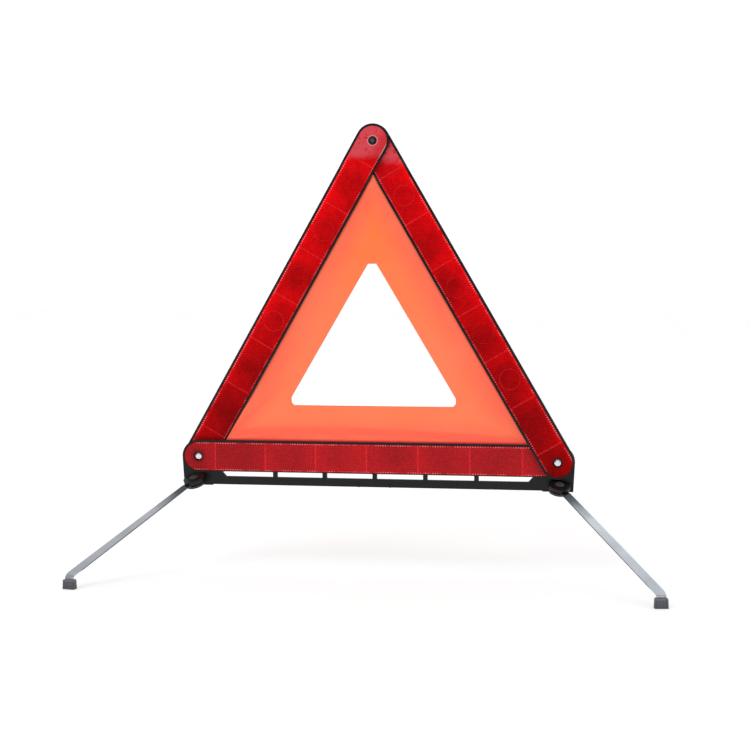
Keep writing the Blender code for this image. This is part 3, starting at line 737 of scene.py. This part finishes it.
def drape(sheet, count):
    """Hangs the sheet from the three bars, drawn a very little taut, so that gravity settles it in soft
    folds.
    """
    held = sheet.vertex_groups.new(name="held")
    held.add(list(range(count)), 1.0, "REPLACE")
    cloth = sheet.modifiers.new("Cloth", "CLOTH")
    settings = cloth.settings
    settings.quality = 12
    settings.mass = 0.05
    settings.tension_stiffness = 600
    settings.compression_stiffness = 600
    settings.shear_stiffness = 300
    settings.bending_stiffness = 4
    settings.tension_damping = 25
    settings.shear_damping = 25
    settings.air_damping = 3
    settings.vertex_group_mass = "held"
    settings.shrink_min = SHEET_TAUTNESS
    settings.effector_weights.gravity = 0.5
    cloth.collision_settings.use_self_collision = False
    cloth.point_cache.frame_start = 1
    cloth.point_cache.frame_end = DRAPE_FRAMES
    scene = bpy.context.scene
    for frame_number in range(1, DRAPE_FRAMES + 1):
        scene.frame_set(frame_number)
    apply_modifiers(sheet)
    scene.frame_set(1)


# ---- floor, light and camera ----
def pale_floor():
    reach = FLOOR_REACH
    corners = [(-reach, -reach, 0), (reach, -reach, 0), (reach, reach, 0), (-reach, reach, 0)]
    mesh = bpy.data.meshes.new("pale_floor")
    mesh.from_pydata(corners, [], [(0, 1, 2, 3)])
    floor = bpy.data.objects.new("pale_floor", mesh)
    bpy.context.scene.collection.objects.link(floor)
    made, tree, shader = new_material("pale_floor")
    tone = ramp(tree, noise(tree, own_place(tree), 3.0), 0.3, 0.7, 0.91, 0.93)
    white = (1, 1, 1, 1)
    put(tree, shader.inputs["Base Color"], blend_colours(tree, 1.0, white, tone, "MULTIPLY"))
    shader.inputs["Roughness"].default_value = 0.9
    shader.inputs["Specular IOR Level"].default_value = 0.0
    shader.inputs["Emission Color"].default_value = white
    shader.inputs["Emission Strength"].default_value = 0.35
    mesh.materials.append(made)


def studio_world():
    """White behind the object; what shiny surfaces mirror is dark in front and bright overhead."""
    world = bpy.data.worlds.new("studio")
    world.use_nodes = True
    tree = world.node_tree
    tree.nodes.clear()
    path = add(tree, "ShaderNodeLightPath")
    x, y, z = axes_of(tree, add(tree, "ShaderNodeTexCoord").outputs["Generated"])
    overhead = ramp(tree, z, 0.05, 0.75, 0.0, 0.75)
    behind = ramp(tree, y, -0.2, 0.7, 0.05, 0.45)
    right_side = ramp(tree, x, -0.8, 0.8, 0.62, 1.12)
    mirrored = times(tree, calc(tree, "ADD", overhead, behind), right_side)
    change = times(tree, path.outputs["Is Glossy Ray"], minus(tree, mirrored, SKY_LIGHT))
    strength = calc(tree, "ADD", change, SKY_LIGHT)
    seen = times(tree, path.outputs["Is Camera Ray"], minus(tree, SKY_SEEN, strength))
    strength = calc(tree, "ADD", strength, seen)
    background = add(tree, "ShaderNodeBackground", {"Color": (1, 1, 1, 1), "Strength": strength})
    add(tree, "ShaderNodeOutputWorld", {"Surface": background.outputs[0]})
    bpy.context.scene.world = world


def area_light(name, place, target, size, power):
    light = bpy.data.lights.new(name, "AREA")
    light.shape = "SQUARE"
    light.size = size
    light.energy = power
    lamp = bpy.data.objects.new(name, light)
    bpy.context.scene.collection.objects.link(lamp)
    lamp.location = place
    lamp.rotation_euler = (Vector(target) - Vector(place)).to_track_quat("-Z", "Y").to_euler()


def studio():
    bpy.context.scene.view_settings.view_transform = "Standard"
    middle = (0, BASE_Y, 0.25)
    area_light("key", (-1.1, -1.7, 2.3), middle, 1.2, KEY_POWER)
    area_light("fill", (2.0, -1.6, 1.2), middle, 1.8, FILL_POWER)
    studio_world()
    pale_floor()


def camera():
    """Just right of the middle and a little above, level with the upper part of the triangle."""
    aim = Vector((0.0008, BASE_Y, 0.216))
    yaw, pitch, roll = math.radians(-9.56), math.radians(4.70), math.radians(-0.35)
    distance = 1.609
    looking = Vector((math.sin(yaw) * math.cos(pitch), math.cos(yaw) * math.cos(pitch), -math.sin(pitch)))
    right = Vector((math.cos(yaw), -math.sin(yaw), 0))
    up = right.cross(looking)
    turned_right = math.cos(roll) * right + math.sin(roll) * up
    turned_up = math.cos(roll) * up - math.sin(roll) * right
    data = bpy.data.cameras.new("camera")
    data.lens = 71.7
    data.sensor_width = 36
    obj = bpy.data.objects.new("camera", data)
    bpy.context.scene.collection.objects.link(obj)
    axes = Matrix((turned_right, turned_up, -looking)).transposed().to_4x4()
    obj.matrix_world = Matrix.Translation(aim - distance * looking) @ axes
    bpy.context.scene.camera = obj


guides = bar_guides()
dress_cad_nodes(guides)
make_sheet(guides)
studio()
camera()
